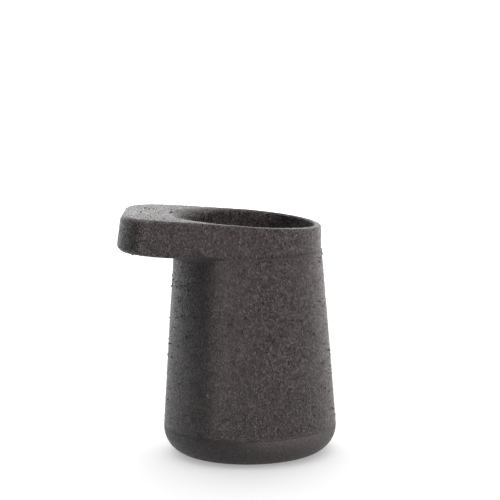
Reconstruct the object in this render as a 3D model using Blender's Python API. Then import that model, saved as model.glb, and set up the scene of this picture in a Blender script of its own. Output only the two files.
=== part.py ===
"""Brimmed stoneware vase, built up from separately formed clay sections.

A rounded base cup, a tapering wall with a thin neck, a hat-like cap whose brim
reaches out over one side, a soffit slab that closes the brim from below, the coil
worked into the corner under the brim, the two slip beads that lute the sections,
and the glaze that lines the inside.

Metres, +Z up. The origin is on the body's axis in the plane of the foot, and the
brim points along -X.
"""
import bpy
import bmesh
from math import asin, atan, atan2, cos, hypot, pi, radians, sin

# ---- driving dimensions -------------------------------------------------------
FOOT_RADIUS = 0.0621        # outer cone of the body, carried down to the table
TAPER = 0.0701              # radius lost per unit of height
FOOT_ROUND = 0.0181         # outer rounding between foot and wall
WALL = 0.0056               # wall, floor and skirt thickness, square to the surface
COLLAR_HEIGHT = 0.1438      # table to the joint under the collar
CROWN_RISE = 0.0215         # collar joint to the top surface, on the axis
TOP_SLOPE = 0.091           # fall of the top surface towards +X
TOP_CROWN = 0.21            # bow of the top surface along X, per metre
DECK = 0.0056               # thickness of the top plate
COLLAR_INSET = 0.0005       # collar's face behind the face of the wall under it
BRIM_REACH = 0.0360         # top edge of the brim's end, beyond the collar circle
BRIM_DRAFT = 0.0023         # how much further the brim's end reaches at its foot
BRIM_NARROWING = 0.0012     # half-width lost between the collar and the brim's end
BRIM_CORNER = 0.0276        # plan radius of the brim's corners
SOFFIT_SLOPE = 0.0857       # fall of the brim's underside towards +X
SOFFIT_DROP = 0.0046        # underside on the axis, below the collar joint
SOFFIT = 0.0050             # thickness of the slab under the brim
BRIM_EDGE_ROUND = 0.0045    # lower edge of the brim, at most
COLLAR_EDGE_ROUND = 0.0006  # lower edge of the collar
TOP_EDGE_ROUND = 0.0015     # upper edge of the collar
TOP_EDGE_ROLL = 0.0045      # upper edge at the brim's end
LIP_ROUND = 0.0015          # mouth edge on the collar side
LIP_ROLL = 0.0110           # mouth edge where the brim rolls down into the mouth
LIP_LAND = 0.0010           # straight wall below the mouth's rounding
MOUTH_EASE = 0.0002         # mouth radius beyond the neck's inner radius
COIL = 0.0050               # largest leg of the coil under the brim
COIL_LEAST = 0.0008         # leg at the coil's ends
VENT_RADIUS = 0.0015        # firing vent through the soffit
BEAD_DEPTH = 0.0012         # slip bead's seat, measured inwards from the surface
BEAD_SEAT = 0.0018          # slip bead's seat, measured down from the joint
COLLAR_BEAD_PROUD = 0.0006  # how far the collar bead stands out of the wall
BASE_BEAD_PROUD = 0.0002    # how far the base bead stands out of the wall
BASE_JOINT_RISE = 0.0002    # base bead's seat above the top of the foot rounding
LAP = 0.0070                # height of the base cup's tongue inside the wall
GLAZE = 0.0008              # thickness of the lining glaze
GLAZE_STOP = 0.0080         # bare clay between the glaze line and the collar joint
GAP = 0.0003                # clearance between pieces that meet

# ---- mesh density ---------------------------------------------------------------
ARC_STEPS = 24              # outline: collar arc, per half
SIDE_STEPS = 10             # outline: straight side of the brim
CORNER_STEPS = 9            # outline: brim corner
END_STEPS = 2               # outline: half of the brim's end
TURN_STEPS = 80             # turned pieces, steps per turn
DECK_RINGS = 3              # rings across the top plate
EDGE_STEPS = 4              # steps round an edge or a lip
COIL_STEPS = 120            # directions per turn tried for the coil
WELD = 1e-6                 # points closer than this are one
SLIVER = 0.0004             # steps smaller than this are left out
CRISP = radians(30)         # edges sharper than this stay crisp

# ---- derived sizes ---------------------------------------------------------------
LEAN = atan(TAPER)
WALL_ACROSS = WALL / cos(LEAN)
FOOT_TOP = FOOT_ROUND * (1 + sin(LEAN))
FOOT_CENTRE = FOOT_RADIUS - TAPER * FOOT_TOP - FOOT_ROUND * cos(LEAN)
BASE_JOINT = FOOT_TOP + BASE_JOINT_RISE + BEAD_SEAT
LAP_RADIUS = FOOT_RADIUS - TAPER * BASE_JOINT - WALL_ACROSS / 2
SHOULDER_RADIUS = FOOT_RADIUS - TAPER * COLLAR_HEIGHT
NECK_INNER = SHOULDER_RADIUS - WALL_ACROSS
NECK_OUTER = SHOULDER_RADIUS - WALL_ACROSS / 2
NECK_CLEAR = NECK_OUTER + GAP
MOUTH_RADIUS = NECK_INNER + MOUTH_EASE
COLLAR_RADIUS = SHOULDER_RADIUS - COLLAR_INSET
BRIM_TIP = COLLAR_RADIUS + BRIM_REACH
BRIM_FOOT = BRIM_TIP + BRIM_DRAFT
BRIM_SHARE = 0.55           # part of a narrow overhang taken by the edge rounding
COIL_SHARE = 1 - BRIM_SHARE


def body_radius(z):
    """Outer radius of the tapering body at a height."""
    return FOOT_RADIUS - TAPER * z


def inner_radius(z):
    """Inner radius of the tapering body at a height."""
    return body_radius(z) - WALL_ACROSS


def top_height(x):
    """Top surface: crowned, and falling from the brim to the far rim."""
    return COLLAR_HEIGHT + CROWN_RISE - TOP_SLOPE * x - TOP_CROWN * x * x


def joint_height(x):
    """Joint under the collar: level, and rising with the brim's underside."""
    return max(COLLAR_HEIGHT, COLLAR_HEIGHT - SOFFIT_DROP - SOFFIT_SLOPE * x)


def lip_round(x, y):
    """Rounding of the mouth edge, growing from the collar side to the brim side."""
    brimward = ((1 - x / hypot(x, y)) / 2) ** 3
    return LIP_ROUND + (LIP_ROLL - LIP_ROUND) * brimward


def lip_depth(x, y):
    """Depth of the mouth wall below the top surface."""
    return max(DECK, lip_round(x, y) + LIP_LAND)


def lip_back(x, y):
    """Outer radius of the lip that turns down into the mouth."""
    return max(NECK_CLEAR, MOUTH_RADIUS + lip_round(x, y) / 2)


def lip_hollow(x, y):
    """Rounding between the back of the lip and the underside of the top plate."""
    hollow = lip_round(x, y) - DECK
    return hollow if hollow > SLIVER else 0.0


def outline(reach, inset=0.0):
    """Plan of collar and brim: collar arc, tangent side, corner and blunt end."""
    corner_x = BRIM_CORNER - reach
    corner_y = COLLAR_RADIUS - BRIM_NARROWING - BRIM_CORNER
    swing = asin((COLLAR_RADIUS - BRIM_CORNER) / hypot(corner_x, corner_y))
    side = atan2(-corner_x, corner_y) + swing
    collar_r = COLLAR_RADIUS - inset
    corner_r = BRIM_CORNER - inset
    half = []
    for i in range(ARC_STEPS):
        turn = side * i / ARC_STEPS
        half.append((collar_r * cos(turn), collar_r * sin(turn)))
    start = (collar_r * cos(side), collar_r * sin(side))
    stop = (corner_x + corner_r * cos(side), corner_y + corner_r * sin(side))
    for i in range(SIDE_STEPS):
        t = i / SIDE_STEPS
        half.append((start[0] + (stop[0] - start[0]) * t, start[1] + (stop[1] - start[1]) * t))
    for i in range(CORNER_STEPS):
        turn = side + (pi - side) * i / CORNER_STEPS
        half.append((corner_x + corner_r * cos(turn), corner_y + corner_r * sin(turn)))
    for i in range(END_STEPS):
        half.append((inset - reach, corner_y * (1 - i / END_STEPS)))
    return half + [(inset - reach, 0.0)] + [(x, -y) for x, y in reversed(half[1:])]


def inside_skirt(inset):
    """Inner face of the skirt, or the neck's clearance where the collar meets the neck."""
    loop = []
    for x, y in outline(BRIM_TIP, inset):
        radius = hypot(x, y)
        scale = NECK_CLEAR / radius if radius < NECK_CLEAR + SLIVER else 1.0
        loop.append((x * scale, y * scale))
    return loop


def overhang(x, y):
    """How far the brim's foot stands out beyond the wall, in a direction from the axis."""
    loop = outline(BRIM_FOOT)
    turn = atan2(y, x)
    reach = COLLAR_RADIUS
    for (ax, ay), (bx, by) in zip(loop, loop[1:] + loop[:1]):
        before = (atan2(ay, ax) - turn + pi) % (2 * pi) - pi
        after = (atan2(by, bx) - turn + pi) % (2 * pi) - pi
        if before <= 0.0 < after:
            reach = (ax * by - ay * bx) / ((by - ay) * cos(turn) - (bx - ax) * sin(turn))
    return reach - SHOULDER_RADIUS


def edge_round(x, y):
    """Rounding of the skirt's lower edge at a point of its outline."""
    room = hypot(x, y) - SHOULDER_RADIUS
    return min(BRIM_EDGE_ROUND, max(COLLAR_EDGE_ROUND, BRIM_SHARE * room))


def top_edge(x):
    """Rounding of the upper edge, growing towards the brim's end."""
    brimward = min(1.0, max(0.0, -x / BRIM_TIP)) ** 2
    return TOP_EDGE_ROUND + (TOP_EDGE_ROLL - TOP_EDGE_ROUND) * brimward


def coil_leg(x, y):
    """Leg of the coil in a direction from the axis."""
    return min(COIL, COIL_SHARE * overhang(x, y))


# ---- mesh helpers ---------------------------------------------------------------
def finish(name, bm, material):
    """Weld, face outwards, shade and link a piece."""
    bmesh.ops.remove_doubles(bm, verts=bm.verts, dist=WELD)
    bmesh.ops.recalc_face_normals(bm, faces=bm.faces)
    mesh = bpy.data.meshes.new(name)
    bm.to_mesh(mesh)
    bm.free()
    mesh.shade_smooth()
    mesh.set_sharp_from_angle(angle=CRISP)
    mesh.materials.append(material)
    piece = bpy.data.objects.new(name, mesh)
    bpy.context.scene.collection.objects.link(piece)
    return piece


def loft(name, rings, material, tube=False, capped=False):
    """Skin matching closed rings; a tube's last ring meets its first, a capped one has ends."""
    bm = bmesh.new()
    loops = [[bm.verts.new(point) for point in ring] for ring in rings]
    pairs = list(zip(loops, loops[1:]))
    if tube:
        pairs.append((loops[-1], loops[0]))
    if capped:
        bm.faces.new(loops[0])
        bm.faces.new(loops[-1])
    for low, high in pairs:
        for i in range(len(low)):
            j = (i + 1) % len(low)
            bm.faces.new((low[i], low[j], high[j], high[i]))
    return finish(name, bm, material)


def turned(name, profile, material, ring=False):
    """Spin a profile of (radius, height) round the axis; a ring's profile is closed."""
    bm = bmesh.new()
    verts = [bm.verts.new((radius, 0.0, height)) for radius, height in profile]
    edges = [bm.edges.new(pair) for pair in zip(verts, verts[1:])]
    if ring:
        edges.append(bm.edges.new((verts[-1], verts[0])))
    bmesh.ops.spin(bm, geom=verts + edges, cent=(0, 0, 0), axis=(0, 0, 1),
                   angle=2 * pi, steps=TURN_STEPS, use_merge=True)
    return finish(name, bm, material)


def arc(centre, radius, start, stop, steps):
    """Points (radius, height) along an arc, ends included."""
    turns = [start + (stop - start) * i / steps for i in range(steps + 1)]
    return [(centre[0] + radius * cos(turn), centre[1] + radius * sin(turn)) for turn in turns]


def quarter(steps):
    """Steps of a quarter turn: share gone inwards, share gone downwards."""
    turns = [pi / 2 * i / steps for i in range(steps + 1)]
    return [(1 - sin(turn), 1 - cos(turn)) for turn in turns]


def bead_section(radius, joint, proud):
    """Slip bead on its seat: square at the back, round where it shows."""
    low = joint - BEAD_SEAT + GAP
    back = radius - BEAD_DEPTH + GAP
    half = (joint - low) / 2
    face = arc((radius + proud - half, low + half), half, -pi / 2, pi / 2, EDGE_STEPS)
    return [(back, low)] + face + [(back, joint)]


def clay(name, colour, roughness):
    """Principled material of one section."""
    material = bpy.data.materials.new(name)
    material.use_nodes = True
    shader = material.node_tree.nodes["Principled BSDF"]
    shader.inputs["Base Color"].default_value = (*colour, 1.0)
    shader.inputs["Roughness"].default_value = roughness
    shader.inputs["Metallic"].default_value = 0.0
    return material


# ---- pieces ----------------------------------------------------------------------
def base_cup():
    """Flat foot, rounded edge, a seat for the bead and a tongue inside the wall."""
    centre = (FOOT_CENTRE, FOOT_ROUND)
    seat_floor = BASE_JOINT - BEAD_SEAT
    seat_back = body_radius(BASE_JOINT) - BEAD_DEPTH
    tongue = BASE_JOINT + LAP
    profile = [(0.0, 0.0)]
    profile += arc(centre, FOOT_ROUND, -pi / 2, LEAN, 9)
    profile += [(body_radius(seat_floor), seat_floor), (seat_back, seat_floor)]
    profile += [(seat_back, BASE_JOINT), (LAP_RADIUS, BASE_JOINT)]
    profile += [(LAP_RADIUS, tongue), (inner_radius(tongue), tongue)]
    profile += arc(centre, FOOT_ROUND - WALL, LEAN, -pi / 2, 7)
    profile += [(0.0, WALL)]
    return turned("base_cup", profile, clay("base_clay", (0.050, 0.045, 0.045), 0.80))


def base_bead():
    """Slip luted into the joint between cup and wall."""
    section = bead_section(body_radius(BASE_JOINT), BASE_JOINT, BASE_BEAD_PROUD)
    return turned("base_bead", section, clay("base_slip", (0.045, 0.041, 0.041), 0.85),
                  ring=True)


def body_wall():
    """Tapering wall, rabbeted over the cup's tongue, with a neck above the collar joint."""
    foot = BASE_JOINT + GAP
    lap_top = foot + LAP
    seat_back = SHOULDER_RADIUS - BEAD_DEPTH

    def shoulder(x, y):
        return joint_height(x)

    def seat_floor(x, y):
        return joint_height(x) - BEAD_SEAT

    def neck_top(x, y):
        return top_height(x) - lip_depth(x, y) - GAP

    edges = [
        (body_radius(foot), lambda x, y: foot),
        (SHOULDER_RADIUS, seat_floor),
        (seat_back, seat_floor),
        (seat_back, shoulder),
        (NECK_OUTER, shoulder),
        (NECK_OUTER, neck_top),
        (NECK_INNER, neck_top),
        (NECK_INNER, lambda x, y: COLLAR_HEIGHT),
        (inner_radius(lap_top), lambda x, y: lap_top),
        (LAP_RADIUS + GAP, lambda x, y: lap_top),
        (LAP_RADIUS + GAP, lambda x, y: foot),
    ]
    rings = []
    for radius, height in edges:
        ring = []
        for i in range(TURN_STEPS):
            turn = 2 * pi * i / TURN_STEPS
            x, y = radius * cos(turn), radius * sin(turn)
            ring.append((x, y, height(x, y)))
        rings.append(ring)
    return loft("body_wall", rings, clay("wall_clay", (0.048, 0.043, 0.043), 0.90), tube=True)


def collar_bead():
    """Slip in the collar joint, proud on the collar side and flush under the coil."""
    sections = []
    for i in range(TURN_STEPS):
        turn = 2 * pi * i / TURN_STEPS
        x, y = cos(turn), sin(turn)
        bare = 1 - min(1.0, max(0.0, coil_leg(x, y) / COIL_LEAST))
        section = bead_section(SHOULDER_RADIUS, joint_height(SHOULDER_RADIUS * x),
                               COLLAR_BEAD_PROUD * bare)
        sections.append([(radius * x, radius * y, height) for radius, height in section])
    return loft("collar_bead", [list(ring) for ring in zip(*sections)],
                clay("collar_slip", (0.045, 0.041, 0.041), 0.90), tube=True)


def brim_cap():
    """Top plate with the mouth, the lip turned down into it, and the skirt round it."""
    foot_line = outline(BRIM_FOOT)
    edge = [edge_round(x, y) for x, y in foot_line]
    roll = [top_edge(x) for x, y in outline(BRIM_TIP)]
    inner = inside_skirt(WALL)
    away = [(x / hypot(x, y), y / hypot(x, y)) for x, y in foot_line]
    rings = [[(x, y, joint_height(x) + GAP) for x, y in inner]]
    for inwards, upwards in quarter(EDGE_STEPS):
        ring = []
        for i, round_r in enumerate(edge):
            x, y = outline(BRIM_FOOT, round_r * inwards)[i]
            ring.append((x, y, joint_height(x) + GAP + round_r * upwards))
        rings.append(ring)
    for inwards, downwards in reversed(quarter(EDGE_STEPS)):
        ring = []
        for i, round_r in enumerate(roll):
            x, y = outline(BRIM_TIP, round_r * inwards)[i]
            ring.append((x, y, top_height(x) - round_r * downwards))
        rings.append(ring)
    rings += mouth_rings(away, rings[-1])
    rings.append([(x, y, top_height(x) - DECK) for x, y in inner])
    return loft("brim_cap", rings, clay("cap_clay", (0.050, 0.045, 0.045), 0.90), tube=True)


def mouth_rings(away, edge):
    """Rings from the rounded edge over the plate, down the lip and back under the plate."""
    def at(radius_of, drop_of):
        ring = []
        for x, y in away:
            radius = radius_of(x, y)
            ring.append((radius * x, radius * y, top_height(radius * x) - drop_of(x, y)))
        return ring

    rings = []
    for step in range(1, DECK_RINGS):
        ring = []
        for (ex, ey, _), (x, y) in zip(edge, away):
            start = MOUTH_RADIUS + lip_round(x, y)
            px = ex + (start * x - ex) * step / DECK_RINGS
            py = ey + (start * y - ey) * step / DECK_RINGS
            ring.append((px, py, top_height(px)))
        rings.append(ring)
    for inwards, drop in quarter(EDGE_STEPS):
        rings.append(at(lambda x, y: MOUTH_RADIUS + lip_round(x, y) * inwards,
                        lambda x, y: lip_round(x, y) * drop))
    rings.append(at(lambda x, y: MOUTH_RADIUS, lip_depth))
    rings.append(at(lip_back, lip_depth))
    for inwards, drop in reversed(quarter(EDGE_STEPS - 1)):
        rings.append(at(lambda x, y: lip_back(x, y) + lip_hollow(x, y) * inwards,
                        lambda x, y: DECK + lip_hollow(x, y) * drop))
    return rings


def brim_soffit():
    """Slab inside the skirt's foot, landing on the wall's shoulder, with a firing vent."""
    outer = [(x, y) for x, y in outline(BRIM_TIP, WALL + GAP)
             if hypot(x, y) > NECK_CLEAR + COIL_LEAST]
    inner = [(x * NECK_CLEAR / hypot(x, y), y * NECK_CLEAR / hypot(x, y)) for x, y in outer]
    plan = outer + inner[::-1]
    rings = [[(x, y, joint_height(x) + rise) for x, y in plan] for rise in (GAP, GAP + SOFFIT)]
    slab = loft("brim_soffit", rings, clay("soffit_clay", (0.048, 0.043, 0.043), 0.92),
                capped=True)

    vent = bpy.data.meshes.new("vent_cutter")
    bm = bmesh.new()
    bmesh.ops.create_cone(bm, cap_ends=True, segments=24, radius1=VENT_RADIUS,
                          radius2=VENT_RADIUS, depth=4 * SOFFIT)
    bm.to_mesh(vent)
    bm.free()
    cutter = bpy.data.objects.new("vent_cutter", vent)
    bpy.context.scene.collection.objects.link(cutter)
    middle = -(SHOULDER_RADIUS + BRIM_TIP) / 2
    cutter.location = (middle, 0.0, joint_height(middle))
    cutter.hide_render = True
    cutter.display_type = "WIRE"
    cut = slab.modifiers.new("vent", "BOOLEAN")
    cut.operation = "DIFFERENCE"
    cut.object = cutter
    return slab


def brim_coil():
    """Coil worked into the corner between the wall and the brim's underside."""
    sections = []
    for i in range(COIL_STEPS):
        turn = 2 * pi * i / COIL_STEPS
        x, y = cos(turn), sin(turn)
        leg = coil_leg(x, y)
        if leg < COIL_LEAST:
            continue
        joint = joint_height(SHOULDER_RADIUS * x)
        back = body_radius(joint - leg) + GAP
        section = [(back, 0.0)] + arc((back + leg, -leg), leg, pi, pi / 2, EDGE_STEPS)
        sections.append([(radius * x, radius * y, joint_height(radius * x) + height)
                         for radius, height in section])
    return loft("brim_coil", sections, clay("coil_clay", (0.048, 0.043, 0.043), 0.92),
                capped=True)


def lining_glaze():
    """Thin glaze over floor and wall, stopping short of the collar joint."""
    centre = (FOOT_CENTRE, FOOT_ROUND)
    top = COLLAR_HEIGHT - GLAZE_STOP
    outer_r = FOOT_ROUND - WALL - GAP
    profile = [(0.0, WALL + GAP)]
    profile += arc(centre, outer_r, -pi / 2, LEAN, 7)
    profile += [(inner_radius(top) - GAP / cos(LEAN), top)]
    profile += [(inner_radius(top) - (GAP + GLAZE) / cos(LEAN), top)]
    profile += arc(centre, outer_r - GLAZE, LEAN, -pi / 2, 7)
    profile += [(0.0, WALL + GAP + GLAZE)]
    return turned("lining_glaze", profile, clay("glaze", (0.020, 0.018, 0.018), 0.35))


for item in list(bpy.data.objects):
    bpy.data.objects.remove(item, do_unlink=True)

base_cup()
base_bead()
body_wall()
collar_bead()
brim_cap()
brim_soffit()
brim_coil()
lining_glaze()
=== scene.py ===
"""Looks of the brimmed stoneware vase: fired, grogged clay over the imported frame.

The fine pieces follow the same rules as the solids they stand for, with the joints drawn
close as firing leaves them. Every size is in metres, +Z is up, and the brim points along -X.
"""
import bpy
import bmesh
from math import asin, atan, atan2, cos, hypot, pi, radians, sin
from mathutils import Matrix, Vector


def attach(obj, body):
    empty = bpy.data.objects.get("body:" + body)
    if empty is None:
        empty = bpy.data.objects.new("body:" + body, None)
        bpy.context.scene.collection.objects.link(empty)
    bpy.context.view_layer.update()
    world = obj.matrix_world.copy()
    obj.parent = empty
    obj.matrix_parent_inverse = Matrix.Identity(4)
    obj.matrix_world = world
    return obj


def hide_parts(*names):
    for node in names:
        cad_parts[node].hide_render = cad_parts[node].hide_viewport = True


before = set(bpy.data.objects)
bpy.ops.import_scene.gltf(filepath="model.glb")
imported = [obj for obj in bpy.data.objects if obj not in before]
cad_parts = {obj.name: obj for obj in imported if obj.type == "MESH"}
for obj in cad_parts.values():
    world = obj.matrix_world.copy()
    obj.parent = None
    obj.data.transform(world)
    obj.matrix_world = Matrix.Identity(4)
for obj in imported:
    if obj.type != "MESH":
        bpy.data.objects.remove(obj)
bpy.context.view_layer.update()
scene = bpy.context.scene

# ---- the vase's own sizes ---------------------------------------------------------------
FOOT_RADIUS = 0.0621        # outer cone of the body, carried down to the table
TAPER = 0.0701              # radius lost per unit of height
FOOT_ROUND = 0.0181         # outer rounding between foot and wall
WALL = 0.0056               # wall, floor and skirt thickness
COLLAR_HEIGHT = 0.1438      # table to the joint under the collar
CROWN_RISE = 0.0215         # collar joint to the top surface, on the axis
TOP_SLOPE = 0.091           # fall of the top surface towards +X
TOP_CROWN = 0.21            # bow of the top surface along X, per metre
DECK = 0.0056               # thickness of the top plate
COLLAR_INSET = 0.0005       # collar's face behind the face of the wall under it
BRIM_REACH = 0.0360         # top edge of the brim's end, beyond the collar circle
BRIM_DRAFT = 0.0023         # how much further the brim's end reaches at its foot
BRIM_NARROWING = 0.0012     # half-width lost between the collar and the brim's end
BRIM_CORNER = 0.0276        # plan radius of the brim's corners
SOFFIT_SLOPE = 0.0857       # fall of the brim's underside towards +X
SOFFIT_DROP = 0.0046        # underside on the axis, below the collar joint
SOFFIT = 0.0050             # thickness of the slab under the brim
BRIM_EDGE_ROUND = 0.0045    # lower edge of the brim, at most
COLLAR_EDGE_ROUND = 0.00015 # lower edge of the collar, wiped into the bead
TOP_EDGE_ROUND = 0.0015     # upper edge of the collar
TOP_EDGE_ROLL = 0.0045      # upper edge at the brim's end
LIP_ROUND = 0.0015          # mouth edge on the collar side
LIP_ROLL = 0.0110           # mouth edge where the brim rolls down into the mouth
LIP_LAND = 0.0010           # straight wall below the mouth's rounding
MOUTH_EASE = 0.0002         # mouth radius beyond the neck's inner radius
COIL = 0.0050               # largest leg of the coil under the brim
COIL_LEAST = 0.0008         # leg at the coil's ends
VENT_RADIUS = 0.0015        # firing vent through the soffit
BEAD_DEPTH = 0.0012         # slip bead's seat, inwards from the surface
BEAD_SEAT = 0.0018          # slip bead's seat, down from the joint
COLLAR_BEAD_PROUD = 0.0004  # how far the collar bead stands out of the wall
BASE_BEAD_PROUD = 0.00005   # how far the base bead stands out of the wall
BASE_JOINT_RISE = 0.0002    # base bead's seat above the top of the foot rounding
LAP = 0.0070                # height of the base cup's tongue inside the wall
GLAZE = 0.0008              # thickness of the lining glaze
GLAZE_STOP = 0.0080         # bare clay between the glaze line and the collar joint
FIRED_GAP = 0.00001         # hairline left between sections once they are fired
SLIVER = 0.0004             # steps smaller than this are left out
BRIM_SHARE = 0.55           # part of a narrow overhang taken by the edge rounding

# ---- fineness of the surfaces --------------------------------------------------------
ARC_STEPS = 140             # outline: collar arc, per half
SIDE_STEPS = 36             # outline: straight side of the brim
CORNER_STEPS = 46           # outline: brim corner
END_STEPS = 14              # outline: half of the brim's end
TURN_STEPS = 440            # turned pieces, steps per turn
RISE = 0.00085              # height of one step up a wall
DECK_RINGS = 34             # rings across the top plate
EDGE_STEPS = 8              # steps round an edge, and half of those round the lip
HOLLOW_STEPS = 4            # steps round the hollow behind the lip
FOOT_STEPS = 34             # steps round the foot's outer edge
FOOT_FADE = 6               # of those, the ones over which the relief rises from nothing
BOWL_STEPS = 12             # steps round the inside of the foot
SOFFIT_ROWS = 26            # rows across the brim's underside
VENT_SIDES = 48             # sides of the vent's bore
WELD = 1e-7                 # points closer than this are one
CRISP = radians(50)         # edges sharper than this stay crisp

# ---- derived sizes ---------------------------------------------------------------------
LEAN = atan(TAPER)
WALL_ACROSS = WALL / cos(LEAN)
FOOT_TOP = FOOT_ROUND * (1 + sin(LEAN))
FOOT_CENTRE = FOOT_RADIUS - TAPER * FOOT_TOP - FOOT_ROUND * cos(LEAN)
BASE_JOINT = FOOT_TOP + BASE_JOINT_RISE + BEAD_SEAT
LAP_RADIUS = FOOT_RADIUS - TAPER * BASE_JOINT - WALL_ACROSS / 2
SHOULDER_RADIUS = FOOT_RADIUS - TAPER * COLLAR_HEIGHT
NECK_INNER = SHOULDER_RADIUS - WALL_ACROSS
NECK_OUTER = SHOULDER_RADIUS - WALL_ACROSS / 2
NECK_CLEAR = NECK_OUTER + FIRED_GAP
MOUTH_RADIUS = NECK_INNER + MOUTH_EASE
COLLAR_RADIUS = SHOULDER_RADIUS - COLLAR_INSET
BRIM_TIP = COLLAR_RADIUS + BRIM_REACH
BRIM_FOOT = BRIM_TIP + BRIM_DRAFT
COIL_SHARE = 1 - BRIM_SHARE

ROOT = "root"
GRAIN = "grain"             # point attribute: how much of the clay's relief a point takes


# ---- camera, floor and light -------------------------------------------------------------
AIM = Vector((0.0016, 0.0, 0.1425))   # the point the camera looks at
DISTANCE = 1.281                      # camera to that point
LIFT = radians(8.03)                  # camera's height above the horizon, as an angle
ROLL = radians(0.74)                  # camera's turn about its own axis
LENS = 131.8                          # millimetres
SENSOR = 36.0                         # millimetres across
FLOOR_RADIUS = 0.62                   # disc of floor under and round the vase
FLOOR_SIDES = 96
FLOOR_WHITE = (0.94, 0.94, 0.94, 1.0)
FLOOR_GLOW = 0.34                     # lift that carries the floor into the white sweep
WHITE = (1.0, 1.0, 1.0)
WARM = (1.0, 0.88, 0.86)              # colour of the key light
SKY_FILL = 0.01                       # dim room on the camera's side
SKY_BACK = 2.2                        # white sweep behind the vase
SWEEP_STARTS = 0.40                   # share of a direction that points back, where it sets in
SWEEP_FULL = 0.85                     # the same, where the sweep is at its full level
SKY_ZENITH = 1.10                     # overhead diffuser
ZENITH_FALL = 1.5                     # how fast the diffuser fades towards the horizon
# name, place, aim, width, height, watts, colour
SOFTBOXES = [
    ("key_right", (1.12, -0.66, 0.26), (0.0, 0.0, 0.09), 0.26, 0.9, 36.0, WARM),
    ("overhead_left", (-0.60, 0.32, 0.95), (0.02, 0.0, 0.15), 0.40, 0.4, 5.0, WHITE),
]


def make_camera():
    """The standing view, from a little above the rim."""
    back = Vector((0.0, -cos(LIFT), sin(LIFT)))
    across = Vector((1.0, 0.0, 0.0))
    above = Vector((0.0, sin(LIFT), cos(LIFT)))
    right = across * cos(ROLL) - above * sin(ROLL)
    up = across * sin(ROLL) + above * cos(ROLL)
    data = bpy.data.cameras.new("camera")
    data.lens = LENS
    data.sensor_width = SENSOR
    camera = bpy.data.objects.new("camera", data)
    scene.collection.objects.link(camera)
    placed = Matrix((right, up, back)).transposed().to_4x4()
    placed.translation = AIM + back * DISTANCE
    camera.matrix_world = placed
    scene.camera = camera


# what the softboxes are kept off: the floor, so that they cast no shadow there
flagged = bpy.data.collections.new("flagged_off")


def softbox(name, place, aim, width, height, power, colour):
    """One rectangular soft light, turned towards a point."""
    data = bpy.data.lights.new(name, "AREA")
    data.shape = "RECTANGLE"
    data.size = width
    data.size_y = height
    data.energy = power
    data.color = colour
    lamp = bpy.data.objects.new(name, data)
    scene.collection.objects.link(lamp)
    lamp.location = place
    lamp.rotation_mode = "QUATERNION"
    lamp.rotation_quaternion = (Vector(aim) - Vector(place)).to_track_quat("-Z", "Y")
    lamp.light_linking.receiver_collection = flagged


def wire(tree, made, **sockets):
    """Set or link a node's inputs by name, with an underscore for each space."""
    for key, value in sockets.items():
        socket = made.inputs[key.replace("_", " ")]
        if isinstance(value, bpy.types.NodeSocket):
            tree.links.new(value, socket)
        else:
            socket.default_value = value
    return made


def math(tree, operation, first, second=None, third=None, clamp=False):
    """A Math node's result."""
    made = tree.nodes.new("ShaderNodeMath")
    made.operation = operation
    made.use_clamp = clamp
    for socket, value in zip(made.inputs, (first, second, third)):
        if isinstance(value, bpy.types.NodeSocket):
            tree.links.new(value, socket)
        elif value is not None:
            socket.default_value = value
    return made.outputs[0]


def make_sky():
    """White sweep behind and a diffuser overhead; the room on the near side is dim."""
    world = bpy.data.worlds.new("studio")
    scene.world = world
    world.use_nodes = True
    tree = world.node_tree
    shade = tree.nodes["Background"]
    place = tree.nodes.new("ShaderNodeTexCoord")
    split = tree.nodes.new("ShaderNodeSeparateXYZ")
    tree.links.new(place.outputs["Generated"], split.inputs[0])
    sweep = tree.nodes.new("ShaderNodeMapRange")
    sweep.interpolation_type = "SMOOTHSTEP"
    wire(tree, sweep, Value=split.outputs["Y"], From_Min=SWEEP_STARTS, From_Max=SWEEP_FULL)
    above = math(tree, "MAXIMUM", split.outputs["Z"], 0.0)
    zenith = math(tree, "POWER", above, ZENITH_FALL)
    lit = math(tree, "MULTIPLY_ADD", sweep.outputs[0], SKY_BACK, SKY_FILL)
    lit = math(tree, "MULTIPLY_ADD", zenith, SKY_ZENITH, lit)
    seen = tree.nodes.new("ShaderNodeLightPath")
    level = math(tree, "MAXIMUM", lit, seen.outputs["Is Camera Ray"])
    tree.links.new(level, shade.inputs["Strength"])
    shade.inputs["Color"].default_value = (1.0, 1.0, 1.0, 1.0)


def make_floor():
    """Plain white floor, which the softboxes are flagged off from."""
    bpy.ops.mesh.primitive_circle_add(vertices=FLOOR_SIDES, radius=FLOOR_RADIUS,
                                      fill_type="NGON")
    floor = bpy.context.object
    floor.name = "floor"
    paint = bpy.data.materials.new("floor_white")
    paint.use_nodes = True
    shader = paint.node_tree.nodes["Principled BSDF"]
    shader.inputs["Base Color"].default_value = FLOOR_WHITE
    shader.inputs["Roughness"].default_value = 0.9
    shader.inputs["Specular IOR Level"].default_value = 0.0
    shader.inputs["Emission Color"].default_value = (1.0, 1.0, 1.0, 1.0)
    shader.inputs["Emission Strength"].default_value = FLOOR_GLOW
    floor.data.materials.append(paint)
    flagged.objects.link(floor)
    flagged.collection_objects[0].light_linking.link_state = "EXCLUDE"


# ---- the vase's rules ------------------------------------------------------------------------
def body_radius(z):
    """Outer radius of the tapering body at a height."""
    return FOOT_RADIUS - TAPER * z


def inner_radius(z):
    """Inner radius of the tapering body at a height."""
    return body_radius(z) - WALL_ACROSS


def top_height(x):
    """Top surface: crowned, and falling from the brim to the far rim."""
    return COLLAR_HEIGHT + CROWN_RISE - TOP_SLOPE * x - TOP_CROWN * x * x


def joint_height(x):
    """Joint under the collar: level, and rising with the brim's underside."""
    return max(COLLAR_HEIGHT, COLLAR_HEIGHT - SOFFIT_DROP - SOFFIT_SLOPE * x)


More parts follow.
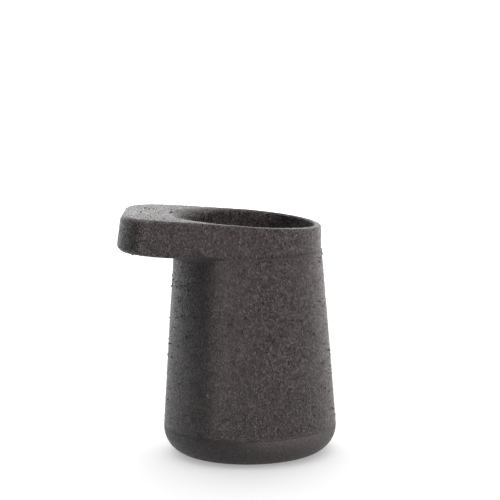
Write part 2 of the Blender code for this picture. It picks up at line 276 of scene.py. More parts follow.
def lip_round(x, y):
    """Rounding of the mouth edge, growing from the collar side to the brim side."""
    brimward = ((1 - x / hypot(x, y)) / 2) ** 3
    return LIP_ROUND + (LIP_ROLL - LIP_ROUND) * brimward


def lip_depth(x, y):
    """Depth of the mouth wall below the top surface."""
    return max(DECK, lip_round(x, y) + LIP_LAND)


def lip_back(x, y):
    """Outer radius of the lip that turns down into the mouth."""
    return max(NECK_CLEAR, MOUTH_RADIUS + lip_round(x, y) / 2)


def lip_hollow(x, y):
    """Rounding between the back of the lip and the underside of the top plate."""
    hollow = lip_round(x, y) - DECK
    return hollow if hollow > SLIVER else 0.0


def outline(reach, inset=0.0):
    """Plan of collar and brim: collar arc, tangent side, corner and blunt end."""
    corner_x = BRIM_CORNER - reach
    corner_y = COLLAR_RADIUS - BRIM_NARROWING - BRIM_CORNER
    swing = asin((COLLAR_RADIUS - BRIM_CORNER) / hypot(corner_x, corner_y))
    side = atan2(-corner_x, corner_y) + swing
    collar_r = COLLAR_RADIUS - inset
    corner_r = BRIM_CORNER - inset
    half = []
    for i in range(ARC_STEPS):
        turn = side * i / ARC_STEPS
        half.append((collar_r * cos(turn), collar_r * sin(turn)))
    start = (collar_r * cos(side), collar_r * sin(side))
    stop = (corner_x + corner_r * cos(side), corner_y + corner_r * sin(side))
    for i in range(SIDE_STEPS):
        t = i / SIDE_STEPS
        half.append((start[0] + (stop[0] - start[0]) * t, start[1] + (stop[1] - start[1]) * t))
    for i in range(CORNER_STEPS):
        turn = side + (pi - side) * i / CORNER_STEPS
        half.append((corner_x + corner_r * cos(turn), corner_y + corner_r * sin(turn)))
    for i in range(END_STEPS):
        half.append((inset - reach, corner_y * (1 - i / END_STEPS)))
    return half + [(inset - reach, 0.0)] + [(x, -y) for x, y in reversed(half[1:])]


def inside_skirt(inset):
    """Inner face of the skirt, or the neck's clearance where the collar meets the neck."""
    loop = []
    for x, y in outline(BRIM_TIP, inset):
        radius = hypot(x, y)
        scale = NECK_CLEAR / radius if radius < NECK_CLEAR + SLIVER else 1.0
        loop.append((x * scale, y * scale))
    return loop


def overhangs(turns):
    """How far the brim's foot stands out beyond the wall, in each direction from the axis."""
    loop = outline(BRIM_FOOT)
    bearings = [(atan2(y, x) % (2 * pi), hypot(x, y)) for x, y in loop]
    bearings.append((2 * pi, bearings[0][1]))
    reaches = []
    i = 0
    for turn in turns:
        while bearings[i + 1][0] < turn:
            i += 1
        (low, near), (high, far) = bearings[i], bearings[i + 1]
        reaches.append(near + (far - near) * (turn - low) / (high - low) - SHOULDER_RADIUS)
    return reaches


def edge_round(x, y):
    """Rounding of the skirt's lower edge at a point of its outline."""
    room = hypot(x, y) - SHOULDER_RADIUS
    return min(BRIM_EDGE_ROUND, max(COLLAR_EDGE_ROUND, BRIM_SHARE * room))


def top_edge(x):
    """Rounding of the upper edge, growing towards the brim's end."""
    brimward = min(1.0, max(0.0, -x / BRIM_TIP)) ** 2
    return TOP_EDGE_ROUND + (TOP_EDGE_ROLL - TOP_EDGE_ROUND) * brimward


def round_the_axis():
    """Directions of one turn."""
    return [2 * pi * i / TURN_STEPS for i in range(TURN_STEPS)]


def coil_legs():
    """Leg of the coil in each direction from the axis."""
    return [min(COIL, COIL_SHARE * out) for out in overhangs(round_the_axis())]


def arc(centre, radius, start, stop, steps):
    """Points (radius, height) along an arc, ends included."""
    turns = [start + (stop - start) * i / steps for i in range(steps + 1)]
    return [(centre[0] + radius * cos(turn), centre[1] + radius * sin(turn)) for turn in turns]


def quarter(steps):
    """Steps of a quarter turn: share gone inwards, share gone downwards."""
    turns = [pi / 2 * i / steps for i in range(steps + 1)]
    return [(1 - sin(turn), 1 - cos(turn)) for turn in turns]


def between(low, high, share):
    """A point between two points of equal length."""
    return tuple(a + (b - a) * share for a, b in zip(low, high))


# ---- mesh helpers -------------------------------------------------------------------------------
def skin(name, rings, grains, tube=False, capped=False):
    """Skin matching rings of points; grains is how much relief each ring takes."""
    count = len(rings[0])
    points = [point for ring in rings for point in ring]
    pairs = [(r, r + 1) for r in range(len(rings) - 1)]
    if tube:
        pairs.append((len(rings) - 1, 0))
    faces = []
    for low, high in pairs:
        for i in range(count):
            j = (i + 1) % count
            faces.append((low * count + i, low * count + j, high * count + j, high * count + i))
    if capped:
        faces.append(tuple(range(count)))
        faces.append(tuple((len(rings) - 1) * count + i for i in range(count)))
    mesh = bpy.data.meshes.new(name)
    mesh.from_pydata(points, [], faces)
    relief = mesh.attributes.new(GRAIN, "FLOAT", "POINT")
    relief.data.foreach_set("value", [grain for grain in grains for _ in range(count)])
    bm = bmesh.new()
    bm.from_mesh(mesh)
    bmesh.ops.remove_doubles(bm, verts=bm.verts, dist=WELD)
    bmesh.ops.recalc_face_normals(bm, faces=bm.faces)
    bm.to_mesh(mesh)
    bm.free()
    piece = bpy.data.objects.new(name, mesh)
    scene.collection.objects.link(piece)
    return piece


def spun(name, profile, tube=False):
    """Turn a profile of (radius, height, grain) round the axis."""
    turns = round_the_axis()
    rings = [[(r * cos(a), r * sin(a), z) for a in turns] for r, z, _ in profile]
    return skin(name, rings, [grain for _, _, grain in profile], tube=tube)


def steps_up(length):
    """Shares of a wall's height, one for each step up it."""
    count = max(1, round(length / RISE))
    return [i / count for i in range(count + 1)]


# ---- nodes shared by shapes and finishes -------------------------------------------------------
def new_tree(kind, name, inputs, outputs):
    """A node tree with named sockets, its given values and its output node."""
    tree = bpy.data.node_groups.new(name, kind)
    for label, sort in outputs:
        tree.interface.new_socket(label, in_out="OUTPUT", socket_type="NodeSocket" + sort)
    for label, sort, value in inputs:
        socket = tree.interface.new_socket(label, in_out="INPUT", socket_type="NodeSocket" + sort)
        if value is not None:
            socket.default_value = value
    return tree, tree.nodes.new("NodeGroupInput").outputs, tree.nodes.new("NodeGroupOutput")


def scaled(tree, vector, factor):
    """A vector times a number."""
    made = tree.nodes.new("ShaderNodeVectorMath")
    made.operation = "SCALE"
    wire(tree, made, Vector=vector, Scale=factor)
    return made.outputs[0]


def noise(tree, place, scale, detail=2.0, rough=0.55):
    """A noise value from 0 to 1."""
    made = tree.nodes.new("ShaderNodeTexNoise")
    wire(tree, made, Vector=place, Scale=scale, Detail=detail, Roughness=rough)
    return made.outputs[0]


# ---- relief and standing grains ----------------------------------------------------------------
GEOMETRY_IN = ("Geometry", "Geometry", None)
GEOMETRY_OUT = ("Geometry", "Geometry")
SWELL_WIDTH = 0.03          # from one hand swell to the next
GROG_WIDTH = 0.0016         # from one coarse grain under the skin to the next


def grain_share(tree):
    """The share of relief stored on the mesh."""
    share = tree.nodes.new("GeometryNodeInputNamedAttribute")
    share.data_type = "FLOAT"
    share.inputs["Name"].default_value = GRAIN
    return share.outputs["Attribute"]


def relief_tree():
    """Pushes a section's skin in and out: hand swell and coarse grog."""
    tree, given, out = new_tree(
        "GeometryNodeTree", "clay_relief",
        [GEOMETRY_IN, ("Swell", "Float", 0.0003), ("Swell Width", "Float", SWELL_WIDTH),
         ("Grog", "Float", 0.0002), ("Grog Width", "Float", GROG_WIDTH),
         ("Clay", "Material", None)], [GEOMETRY_OUT])
    place = tree.nodes.new("GeometryNodeInputPosition").outputs[0]
    normal = tree.nodes.new("GeometryNodeInputNormal").outputs[0]

    def heave(width, detail):
        waves = noise(tree, place, math(tree, "DIVIDE", 1.0, width), detail, 0.6)
        return math(tree, "MULTIPLY_ADD", waves, 2.0, -1.0)

    swell = math(tree, "MULTIPLY", heave(given["Swell Width"], 1.0), given["Swell"])
    grog = math(tree, "MULTIPLY", heave(given["Grog Width"], 3.0), given["Grog"])
    push = math(tree, "MULTIPLY", math(tree, "ADD", swell, grog), grain_share(tree))
    move = tree.nodes.new("GeometryNodeSetPosition")
    wire(tree, move, Geometry=given["Geometry"], Offset=scaled(tree, normal, push))
    dress = tree.nodes.new("GeometryNodeSetMaterial")
    wire(tree, dress, Geometry=move.outputs[0], Material=given["Clay"])
    whole = tree.nodes.new("GeometryNodeRealizeInstances")
    tree.links.new(dress.outputs[0], whole.inputs[0])
    tree.links.new(whole.outputs[0], out.inputs[0])
    return tree


def grog_tree():
    """Strews hard grains that stand half out of a section's skin."""
    tree, given, out = new_tree(
        "GeometryNodeTree", "standing_grog",
        [GEOMETRY_IN, ("Grains", "Float", 60000.0), ("Least", "Float", 0.00015),
         ("Most", "Float", 0.0004), ("Rarity", "Float", 2.0), ("Seed", "Int", 1),
         ("Clay", "Material", None)], [GEOMETRY_OUT])
    strew = tree.nodes.new("GeometryNodeDistributePointsOnFaces")
    dense = math(tree, "MULTIPLY", given["Grains"], grain_share(tree))
    wire(tree, strew, Mesh=given["Geometry"], Density=dense, Seed=given["Seed"])
    grain = tree.nodes.new("GeometryNodeMeshIcoSphere")
    wire(tree, grain, Radius=1.0, Subdivisions=1)

    def dice(kind, low, high, offset):
        die = tree.nodes.new("FunctionNodeRandomValue")
        die.data_type = kind
        # where this kind of value has its low end, its high end and its result
        first, last, result = {"FLOAT": (2, 3, 1), "FLOAT_VECTOR": (0, 1, 0)}[kind]
        die.inputs[first].default_value = low
        die.inputs[last].default_value = high
        seed = tree.nodes.new("FunctionNodeIntegerMath")
        seed.operation = "ADD"
        tree.links.new(given["Seed"], seed.inputs[0])
        seed.inputs[1].default_value = offset
        tree.links.new(seed.outputs[0], die.inputs["Seed"])
        return die.outputs[result]

    luck = math(tree, "POWER", dice("FLOAT", 0.0, 1.0, 11), given["Rarity"])
    spread = math(tree, "SUBTRACT", given["Most"], given["Least"])
    size = math(tree, "MULTIPLY_ADD", luck, spread, given["Least"])
    shape = dice("FLOAT_VECTOR", (0.7, 0.7, 0.6), (1.2, 1.2, 1.1), 12)
    turn = dice("FLOAT_VECTOR", (0.0, 0.0, 0.0), (2 * pi, 2 * pi, 2 * pi), 13)
    stand = tree.nodes.new("GeometryNodeInstanceOnPoints")
    wire(tree, stand, Points=strew.outputs["Points"], Instance=grain.outputs["Mesh"],
         Rotation=turn, Scale=scaled(tree, shape, size))
    whole = tree.nodes.new("GeometryNodeRealizeInstances")
    tree.links.new(stand.outputs[0], whole.inputs[0])
    smooth = tree.nodes.new("GeometryNodeSetShadeSmooth")
    tree.links.new(whole.outputs[0], smooth.inputs[0])
    dress = tree.nodes.new("GeometryNodeSetMaterial")
    wire(tree, dress, Geometry=smooth.outputs[0], Material=given["Clay"])
    tree.links.new(dress.outputs[0], out.inputs[0])
    return tree


def worked(source, name, tree, values):
    """The plain mesh that a tree makes of a piece."""
    grower = bpy.data.objects.new(name, source.data)
    scene.collection.objects.link(grower)
    grow = grower.modifiers.new("grow", "NODES")
    grow.node_group = tree
    for item in tree.interface.items_tree:
        if item.in_out == "INPUT" and item.name in values:
            grow[item.identifier] = values[item.name]
    grower.update_tag()
    bpy.context.view_layer.update()
    evaluated = grower.evaluated_get(bpy.context.evaluated_depsgraph_get())
    made = bpy.data.objects.new(name, bpy.data.meshes.new_from_object(evaluated))
    bpy.data.objects.remove(grower, do_unlink=True)
    scene.collection.objects.link(made)
    return made


# ---- materials -----------------------------------------------------------------------------------
GRAIN_WIDTH = 0.0007        # one grain to the next, across
GRAIN_REACH = 0.62          # heights are shrunk by this, which draws the grains out upwards
GRAIN_TONES = [             # a grain's draw from 0 to 1, and the tone that it gives
    (0.0, 0.0), (0.3, 0.05), (0.5, 0.24), (0.72, 0.55), (0.88, 0.90), (1.0, 1.0)]
TONE_GAIN = 2.7             # brings the tones back to an average of about one
DUST_FINER = 1.9            # dust to grains, in fineness
PALE_FROM = 0.985           # the share of grains that aren't pale
CLOUDS = 28.0               # slow changes of tone, per metre
STREAKS = 420.0             # drag lines, per metre round the wall
STREAK_REACH = 0.06         # heights are shrunk by this, which draws the drag lines out
GLOSS_SPREAD = 0.34         # roughness from the glossiest grain to the dullest
GRAIN_DEPTH = 0.0010        # height of a full grain's bump
CLAY_SPECULAR = 0.55
CLAY_SHEEN = (1.0, 0.94, 0.94, 1.0)   # tint of the clay's reflections


def stretched(tree, place, factors):
    """Coordinates scaled along each axis."""
    made = tree.nodes.new("ShaderNodeVectorMath")
    made.operation = "MULTIPLY"
    tree.links.new(place, made.inputs[0])
    made.inputs[1].default_value = factors
    return made.outputs[0]


def ramp(tree, value, stops):
    """A grey ramp over a value."""
    made = tree.nodes.new("ShaderNodeValToRGB")
    band = made.color_ramp
    while len(band.elements) < len(stops):
        band.elements.new(0.5)
    for element, (place, grey) in zip(band.elements, stops):
        element.position = place
        element.color = (grey, grey, grey, 1.0)
    tree.links.new(value, made.inputs[0])
    return made.outputs[0]


def mixed(tree, factor, first, second, blend="MIX"):
    """Two colours mixed."""
    made = tree.nodes.new("ShaderNodeMix")
    made.data_type = "RGBA"
    made.blend_type = blend
    for socket, value in zip((made.inputs[0], made.inputs[6], made.inputs[7]),
                             (factor, first, second)):
        if isinstance(value, bpy.types.NodeSocket):
            tree.links.new(value, socket)
        else:
            socket.default_value = value
    return made.outputs[2]


def grog_group():
    """Grains in fired clay: a tone for each grain, its gloss and its height."""
    group, given, out = new_tree(
        "ShaderNodeTree", "grogged_clay",
        [("Place", "Vector", None), ("Clay", "Color", (0.04, 0.035, 0.035, 1.0)),
         ("Pale Grog", "Color", (0.07, 0.063, 0.06, 1.0)), ("Contrast", "Float", 1.0),
         ("Grain Width", "Float", GRAIN_WIDTH), ("Gloss", "Float", 0.5)],
        [("Colour", "Color"), ("Roughness", "Float"), ("Height", "Float")])
    drawn = stretched(group, given["Place"], (1.0, 1.0, GRAIN_REACH))
    scale = math(group, "DIVIDE", 1.0, given["Grain Width"])
    cells = group.nodes.new("ShaderNodeTexVoronoi")
    wire(group, cells, Vector=drawn, Scale=scale, Randomness=1.0)
    luck = group.nodes.new("ShaderNodeSeparateColor")
    group.links.new(cells.outputs["Color"], luck.inputs[0])
    tone = math(group, "MULTIPLY", ramp(group, luck.outputs[0], GRAIN_TONES), TONE_GAIN)
    fine = noise(group, drawn, math(group, "MULTIPLY", scale, DUST_FINER), 2.0, 0.7)
    tone = math(group, "MULTIPLY", tone, math(group, "MULTIPLY_ADD", fine, 2.4, -0.2))
    tone = math(group, "MULTIPLY_ADD", math(group, "SUBTRACT", tone, 1.0), given["Contrast"], 1.0)
    cloud = math(group, "MULTIPLY_ADD", noise(group, given["Place"], CLOUDS, 3.0), 0.30, 0.85)
    dragged = stretched(group, given["Place"], (1.0, 1.0, STREAK_REACH))
    streak = math(group, "MULTIPLY_ADD", noise(group, dragged, STREAKS, 2.0), 0.5, 0.75)
    tone = math(group, "MULTIPLY", tone, math(group, "MULTIPLY", cloud, streak))
    tone = math(group, "MAXIMUM", tone, 0.0)
    grey = group.nodes.new("ShaderNodeCombineColor")
    for socket in grey.inputs:
        group.links.new(tone, socket)
    clay = mixed(group, 1.0, given["Clay"], grey.outputs[0], "MULTIPLY")
    pale = math(group, "GREATER_THAN", luck.outputs[1], PALE_FROM)
    pale = math(group, "MULTIPLY", pale, given["Contrast"], clamp=True)
    colour = mixed(group, pale, clay, given["Pale Grog"])
    group.links.new(colour, out.inputs["Colour"])
    gloss = math(group, "MULTIPLY_ADD", luck.outputs[2], -GLOSS_SPREAD, given["Gloss"])
    rough = math(group, "ADD", gloss, GLOSS_SPREAD / 2, clamp=True)
    group.links.new(rough, out.inputs["Roughness"])
    dome = math(group, "SUBTRACT", 1.0, cells.outputs["Distance"])
    height = math(group, "MULTIPLY", dome, luck.outputs[2])
    group.links.new(math(group, "MULTIPLY_ADD", fine, 0.8, height), out.inputs["Height"])
    return group


def clay(name, group, colour, contrast, gloss, relief):
    """Bare fired clay: the grain group feeding a rough surface."""
    material = bpy.data.materials.new(name)
    material.use_nodes = True
    tree = material.node_tree
    shader = tree.nodes["Principled BSDF"]
    place = tree.nodes.new("ShaderNodeTexCoord").outputs["Object"]
    body = tree.nodes.new("ShaderNodeGroup")
    body.node_tree = group
    wire(tree, body, Place=place, Clay=(*colour, 1.0), Contrast=contrast, Gloss=gloss)
    bump = tree.nodes.new("ShaderNodeBump")
    wire(tree, bump, Height=body.outputs["Height"], Strength=relief, Distance=GRAIN_DEPTH)
    wire(tree, shader, Base_Color=body.outputs["Colour"], Roughness=body.outputs["Roughness"],
         Normal=bump.outputs[0], Specular_IOR_Level=CLAY_SPECULAR, Specular_Tint=CLAY_SHEEN)
    return material


# ---- pieces ----------------------------------------------------------------------------------------
def base_cup():
    """Flat foot, rounded edge, a seat for the bead and a tongue inside the wall."""
    centre = (FOOT_CENTRE, FOOT_ROUND)
    seat_floor = BASE_JOINT - BEAD_SEAT
    seat_back = body_radius(BASE_JOINT) - BEAD_DEPTH
    tongue = BASE_JOINT + LAP
    profile = [(0.0, 0.0, 0.0), (FOOT_CENTRE / 2, 0.0, 0.0)]
    curve = arc(centre, FOOT_ROUND, -pi / 2, LEAN, FOOT_STEPS)
    profile += [(r, z, min(1.0, i / FOOT_FADE)) for i, (r, z) in enumerate(curve)]
    profile += [(body_radius(seat_floor), seat_floor, 1.0), (seat_back, seat_floor, 0.0)]
    profile += [(seat_back, BASE_JOINT, 0.0), (LAP_RADIUS, BASE_JOINT, 0.0)]
    profile += [(LAP_RADIUS, tongue, 0.0), (inner_radius(tongue), tongue, 0.0)]
    bowl = arc(centre, FOOT_ROUND - WALL, LEAN, -pi / 2, BOWL_STEPS)
    profile += [(r, z, 0.0) for r, z in bowl]
    profile += [(0.0, WALL, 0.0)]
    return spun("base_cup_fired", profile)


def bead_section(radius, joint, proud, inset=0.0):
    """Slip bead on its seat: square at the back, a low swell wiped flush where it shows."""
    low = joint - BEAD_SEAT + FIRED_GAP
    back = radius - BEAD_DEPTH + FIRED_GAP
    face = []
    for i in range(EDGE_STEPS + 1):
        share = i / EDGE_STEPS
        swell = proud * sin(pi * share) - inset * share
        face.append((radius + swell, low + (joint - low) * share, 1.0))
    return [(back, low, 0.0)] + face + [(back, joint, 0.0)]


def base_bead():
    """Slip luted into the joint between cup and wall."""
    return spun("base_bead_fired",
                bead_section(body_radius(BASE_JOINT), BASE_JOINT, BASE_BEAD_PROUD), tube=True)


def body_wall():
    """Tapering wall, rabbeted over the cup's tongue, with a neck above the collar joint."""
    foot = BASE_JOINT + FIRED_GAP
    lap_top = foot + LAP
    seat_back = SHOULDER_RADIUS - BEAD_DEPTH

    def ring(radius, height):
        made = []
        for turn in round_the_axis():
            x, y = radius * cos(turn), radius * sin(turn)
            made.append((x, y, height(x, y)))
        return made

    def shoulder(x, y):
        return joint_height(x)

    def neck_top(x, y):
        return top_height(x) - lip_depth(x, y) - FIRED_GAP

    low = ring(body_radius(foot), lambda x, y: foot)
    high = ring(SHOULDER_RADIUS, lambda x, y: joint_height(x) - BEAD_SEAT)
    rings = []
    grains = []
    for share in steps_up(COLLAR_HEIGHT - foot):
        rings.append([between(a, b, share) for a, b in zip(low, high)])
        grains.append(1.0)
    hidden = [
        (seat_back, lambda x, y: joint_height(x) - BEAD_SEAT),
        (seat_back, shoulder),
        (NECK_OUTER, shoulder),
        (NECK_OUTER, neck_top),
        (NECK_INNER, neck_top),
    ]
    rings += [ring(radius, height) for radius, height in hidden]
    grains += [0.0] * len(hidden)
    neck = rings[-1]
    bottom = ring(NECK_INNER, lambda x, y: COLLAR_HEIGHT)
    for step in range(1, 6):
        rings.append([between(a, b, step / 5) for a, b in zip(neck, bottom)])
        grains.append(0.5)
    foot_inside = ring(inner_radius(lap_top), lambda x, y: lap_top)
    for share in (0.08, 1.0):
        rings.append([between(a, b, share) for a, b in zip(bottom, foot_inside)])
        grains.append(0.0)
    rings.append(ring(LAP_RADIUS + FIRED_GAP, lambda x, y: lap_top))
    rings.append(ring(LAP_RADIUS + FIRED_GAP, lambda x, y: foot))
    grains += [0.0, 0.0]
    return skin("body_wall_fired", rings, grains, tube=True)


def collar_bead():
    """Slip in the collar joint, proud on the collar side and flush under the coil."""
    sections = []
    for turn, leg in zip(round_the_axis(), coil_legs()):
        x, y = cos(turn), sin(turn)
        bare = 1 - min(1.0, max(0.0, leg / COIL_LEAST))
        section = bead_section(SHOULDER_RADIUS, joint_height(SHOULDER_RADIUS * x),
                               COLLAR_BEAD_PROUD * bare, COLLAR_INSET * bare)
        sections.append([(radius * x, radius * y, height) for radius, height, _ in section])
    grains = [grain for _, _, grain in section]
    return skin("collar_bead_fired", [list(ring) for ring in zip(*sections)], grains, tube=True)


def brim_cap():
    """Top plate with the mouth, the lip turned down into it, and the skirt round it."""
    foot_line = outline(BRIM_FOOT)
    tip_line = outline(BRIM_TIP)
    edge = [edge_round(x, y) for x, y in foot_line]
    inner = inside_skirt(WALL)
    away = [(x / hypot(x, y), y / hypot(x, y)) for x, y in foot_line]
    rings = [[(x, y, joint_height(x) + FIRED_GAP) for x, y in inner]]
    grains = [0.0]
    for inwards, upwards in quarter(EDGE_STEPS):
        ring = []
        for i, round_r in enumerate(edge):
            (x, y), (nx, ny) = foot_line[i], outward(foot_line, i)
            x, y = x - nx * round_r * inwards, y - ny * round_r * inwards
            ring.append((x, y, joint_height(x) + FIRED_GAP + round_r * upwards))
        rings.append(ring)
        grains.append(1.0)
    low = rings[-1]
    high = [(x, y, top_height(x) - top_edge(x)) for x, y in tip_line]
    shares = steps_up(CROWN_RISE + SOFFIT_DROP)
    for share in shares[1:-1]:
        rings.append([between(a, b, share) for a, b in zip(low, high)])
        grains.append(1.0)
    for inwards, downwards in reversed(quarter(EDGE_STEPS)):
        ring = []
        for i, (x, y) in enumerate(tip_line):
            (nx, ny), round_r = outward(tip_line, i), top_edge(x)
            x, y = x - nx * round_r * inwards, y - ny * round_r * inwards
            ring.append((x, y, top_height(x) - round_r * downwards))
        rings.append(ring)
        grains.append(1.0)
    more, shares = mouth_rings(away, rings[-1])
    rings += more
    grains += shares
    rings.append([(x, y, top_height(x) - DECK) for x, y in inner])
    grains.append(0.0)
    return skin("brim_cap_fired", rings, grains, tube=True)


def outward(loop, i):
    """Unit vector square to a closed outline at one of its points."""
    (ax, ay), (bx, by) = loop[i - 1], loop[(i + 1) % len(loop)]
    length = hypot(bx - ax, by - ay)
    return (by - ay) / length, (ax - bx) / length


def mouth_rings(away, edge):
    """Rings over the top plate, round the lip, down the mouth and back under the plate."""
    def at(radius_of, drop_of):
        ring = []
        for x, y in away:
            radius = radius_of(x, y)
            ring.append((radius * x, radius * y, top_height(radius * x) - drop_of(x, y)))
        return ring

    rings = []
    for step in range(1, DECK_RINGS):
        ring = []
        for (ex, ey, _), (x, y) in zip(edge, away):
            start = MOUTH_RADIUS + lip_round(x, y)
            px = ex + (start * x - ex) * step / DECK_RINGS
            py = ey + (start * y - ey) * step / DECK_RINGS
            ring.append((px, py, top_height(px)))
        rings.append(ring)
    for inwards, drop in quarter(2 * EDGE_STEPS):
        rings.append(at(lambda x, y: MOUTH_RADIUS + lip_round(x, y) * inwards,
                        lambda x, y: lip_round(x, y) * drop))
    grains = [1.0] * len(rings)
    for share in (0.34, 0.67, 1.0):
        rings.append(at(lambda x, y: MOUTH_RADIUS,
                        lambda x, y: lip_round(x, y) + (lip_depth(x, y) - lip_round(x, y)) * share))
        grains.append(0.5 * (share < 1.0))
    rings.append(at(lip_back, lip_depth))
    grains.append(0.0)
    for inwards, drop in reversed(quarter(HOLLOW_STEPS)):
        rings.append(at(lambda x, y: lip_back(x, y) + lip_hollow(x, y) * inwards,
                        lambda x, y: DECK + lip_hollow(x, y) * drop))
        grains.append(0.0)
    return rings, grains


def brim_soffit():
    """Slab inside the skirt's foot, landing on the wall's shoulder, with its firing vent."""
    outer = [(x, y) for x, y in outline(BRIM_TIP, WALL + FIRED_GAP)
             if hypot(x, y) > NECK_CLEAR + COIL_LEAST]
    inner = [(x * NECK_CLEAR / hypot(x, y), y * NECK_CLEAR / hypot(x, y)) for x, y in outer]
    middle = -(SHOULDER_RADIUS + BRIM_TIP) / 2
    strips = []
    for near, far in zip(inner, outer):
        under = [between(near, far, row / SOFFIT_ROWS) for row in range(SOFFIT_ROWS + 1)]
        low = [(x, y, joint_height(x) + FIRED_GAP) for x, y in under]
        high = [(x, y, joint_height(x) + FIRED_GAP + SOFFIT) for x, y in reversed(under)]
        strips.append(low + high)
    slab = skin("brim_soffit_fired", strips, [1.0] * len(strips), capped=True)
    bpy.ops.mesh.primitive_cylinder_add(vertices=VENT_SIDES, radius=VENT_RADIUS, depth=4 * SOFFIT,
                                        location=(middle, 0.0, joint_height(middle)))
    drill = bpy.context.object
    cut = slab.modifiers.new("vent", "BOOLEAN")
    cut.operation = "DIFFERENCE"
    cut.object = drill
    bored = bpy.data.meshes.new_from_object(
        slab.evaluated_get(bpy.context.evaluated_depsgraph_get()))
    slab.modifiers.clear()
    slab.data = bored
    bpy.data.objects.remove(drill, do_unlink=True)
    return slab


def brim_coil():
    """Coil worked into the corner between the wall and the brim's underside."""
    sections = []
    for turn, leg in zip(round_the_axis(), coil_legs()):
        if leg < COIL_LEAST:
            continue
        x, y = cos(turn), sin(turn)
        joint = joint_height(SHOULDER_RADIUS * x)
        back = body_radius(joint - leg) + FIRED_GAP
        section = [(back, 0.0)] + arc((back + leg, -leg), leg, pi, pi / 2, EDGE_STEPS)
        sections.append([(radius * x, radius * y, joint_height(radius * x) + height)
                         for radius, height in section])
    return skin("brim_coil_fired", sections, [1.0] * len(sections), capped=True)


def lining_glaze():
    """Thin glaze over floor and wall, stopping short of the collar joint."""
    centre = (FOOT_CENTRE, FOOT_ROUND)
    top = COLLAR_HEIGHT - GLAZE_STOP
    outer_r = FOOT_ROUND - WALL - FIRED_GAP
    profile = [(0.0, WALL + FIRED_GAP, 0.0)]
    profile += [(r, z, 0.0) for r, z in arc(centre, outer_r, -pi / 2, LEAN, BOWL_STEPS)]
    profile += [(inner_radius(top) - FIRED_GAP / cos(LEAN), top, 0.0)]
    inside = inner_radius(top) - (FIRED_GAP + GLAZE) / cos(LEAN)
    profile += [(inside + GLAZE / 4, top, 0.0), (inside, top - GLAZE / 2, 1.0)]
    end = arc(centre, outer_r - GLAZE, LEAN, -pi / 2, BOWL_STEPS)
    for step in range(1, 10):
        r, z = between((inside, top - GLAZE / 2), end[0], step / 10)
        profile.append((r, z, 1.0))
    profile += [(r, z, 1.0) for r, z in end]
    profile += [(0.0, WALL + FIRED_GAP + GLAZE, 0.0)]
    return spun("lining_glaze_fired", profile)


def glaze_material():
    """Satin black glaze: pooled tone, fine orange-peel and a soft gloss."""
    material = bpy.data.materials.new("lining_glaze")
    material.use_nodes = True
    tree = material.node_tree
    shader = tree.nodes["Principled BSDF"]
    place = tree.nodes.new("ShaderNodeTexCoord").outputs["Object"]
    pool = noise(tree, stretched(tree, place, (1.0, 1.0, 0.3)), 90.0, 4.0)
    colour = mixed(tree, pool, (0.012, 0.011, 0.012, 1.0), (0.034, 0.030, 0.029, 1.0))
    rough = math(tree, "MULTIPLY_ADD", noise(tree, place, 400.0), 0.16, 0.28)
    bump = tree.nodes.new("ShaderNodeBump")
    wire(tree, bump, Height=noise(tree, place, 700.0, 1.0), Strength=0.25, Distance=0.0002)
    wire(tree, shader, Base_Color=colour, Roughness=rough, Normal=bump.outputs[0])
    return material


make_camera()
make_sky()
make_floor()
for lamp in SOFTBOXES:
    softbox(*lamp)

BODY = (0.0085, 0.0073, 0.0075)       # colour of the wall, the collar and the slip
SMOOTHED = (0.0080, 0.0069, 0.0071)   # the foot, sponged before firing
IRON = (0.008, 0.007, 0.007)          # dark grains
SAND = (0.036, 0.031, 0.031)          # pale grains

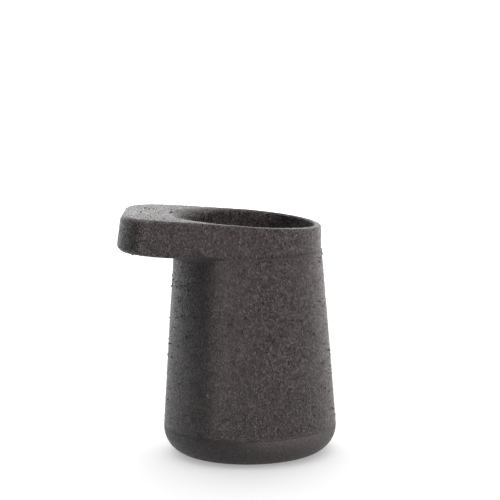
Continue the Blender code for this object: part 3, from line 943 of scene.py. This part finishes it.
grain_nodes = grog_group()
wall_clay = clay("wall_clay", grain_nodes, BODY, contrast=3.2, gloss=0.33, relief=1.0)
cap_clay = clay("cap_clay", grain_nodes, BODY, contrast=3.2, gloss=0.33, relief=1.0)
soffit_clay = clay("soffit_clay", grain_nodes, BODY, contrast=0.8, gloss=0.6, relief=0.6)
base_clay = clay("base_clay", grain_nodes, SMOOTHED, contrast=0.5, gloss=0.5, relief=0.5)
slip = clay("joining_slip", grain_nodes, BODY, contrast=0.8, gloss=0.45, relief=0.8)
dark_grog = clay("dark_grog", grain_nodes, IRON, contrast=0.6, gloss=0.5, relief=0.4)
pale_grog = clay("pale_grog", grain_nodes, SAND, contrast=0.6, gloss=0.5, relief=0.4)
glaze = glaze_material()

relief = relief_tree()
strewn = grog_tree()

# node, maker, slot, finish, height of the hand swell, height of the coarse grog
PIECES = [
    ("base_cup", base_cup, "base_clay", base_clay, 0.00010, 0.00008),
    ("base_bead", base_bead, "joining_slip", slip, 0.00008, 0.00008),
    ("body_wall", body_wall, "body_clay", wall_clay, 0.00012, 0.00034),
    ("collar_bead", collar_bead, "joining_slip", slip, 0.00012, 0.00020),
    ("brim_cap", brim_cap, "body_clay", cap_clay, 0.00015, 0.00030),
    ("brim_soffit", brim_soffit, "body_clay", soffit_clay, 0.0, 0.0),
    ("brim_coil", brim_coil, "body_clay", soffit_clay, 0.00010, 0.00012),
    ("lining_glaze", lining_glaze, "lining_glaze", glaze, 0.00010, 0.0),
]
# node, name, finish, grains per square metre, least and most half-width, rarity of big ones
GRAINS = [
    ("body_wall", "wall_grog", pale_grog, 35000.0, 0.00014, 0.00034, 1.6),
    ("body_wall", "wall_iron_grog", dark_grog, 40000.0, 0.00015, 0.00095, 4.0),
    ("brim_cap", "cap_grog", pale_grog, 30000.0, 0.00014, 0.00032, 1.6),
    ("brim_cap", "cap_iron_grog", dark_grog, 24000.0, 0.00015, 0.00085, 4.0),
    ("base_cup", "base_grog", dark_grog, 6000.0, 0.00012, 0.00030, 2.0),
]

shaped = {}
for node, maker, finish_slot, finish, swell, grog in PIECES:
    plain = maker()
    piece = worked(plain, plain.name, relief, {"Swell": swell, "Grog": grog, "Clay": finish})
    bpy.data.objects.remove(plain, do_unlink=True)
    piece.name = node + "_fired"
    piece.data.shade_smooth()
    piece.data.set_sharp_from_angle(angle=CRISP)
    shaped[node] = piece
    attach(piece, ROOT)
    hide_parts(node)

for seed, (node, name, finish, grains, least, most, rarity) in enumerate(GRAINS, start=1):
    strew = worked(shaped[node], name, strewn, {
        "Grains": grains, "Least": least, "Most": most, "Rarity": rarity,
        "Seed": seed, "Clay": finish})
    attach(strew, ROOT)

scene.view_settings.view_transform = "Standard"
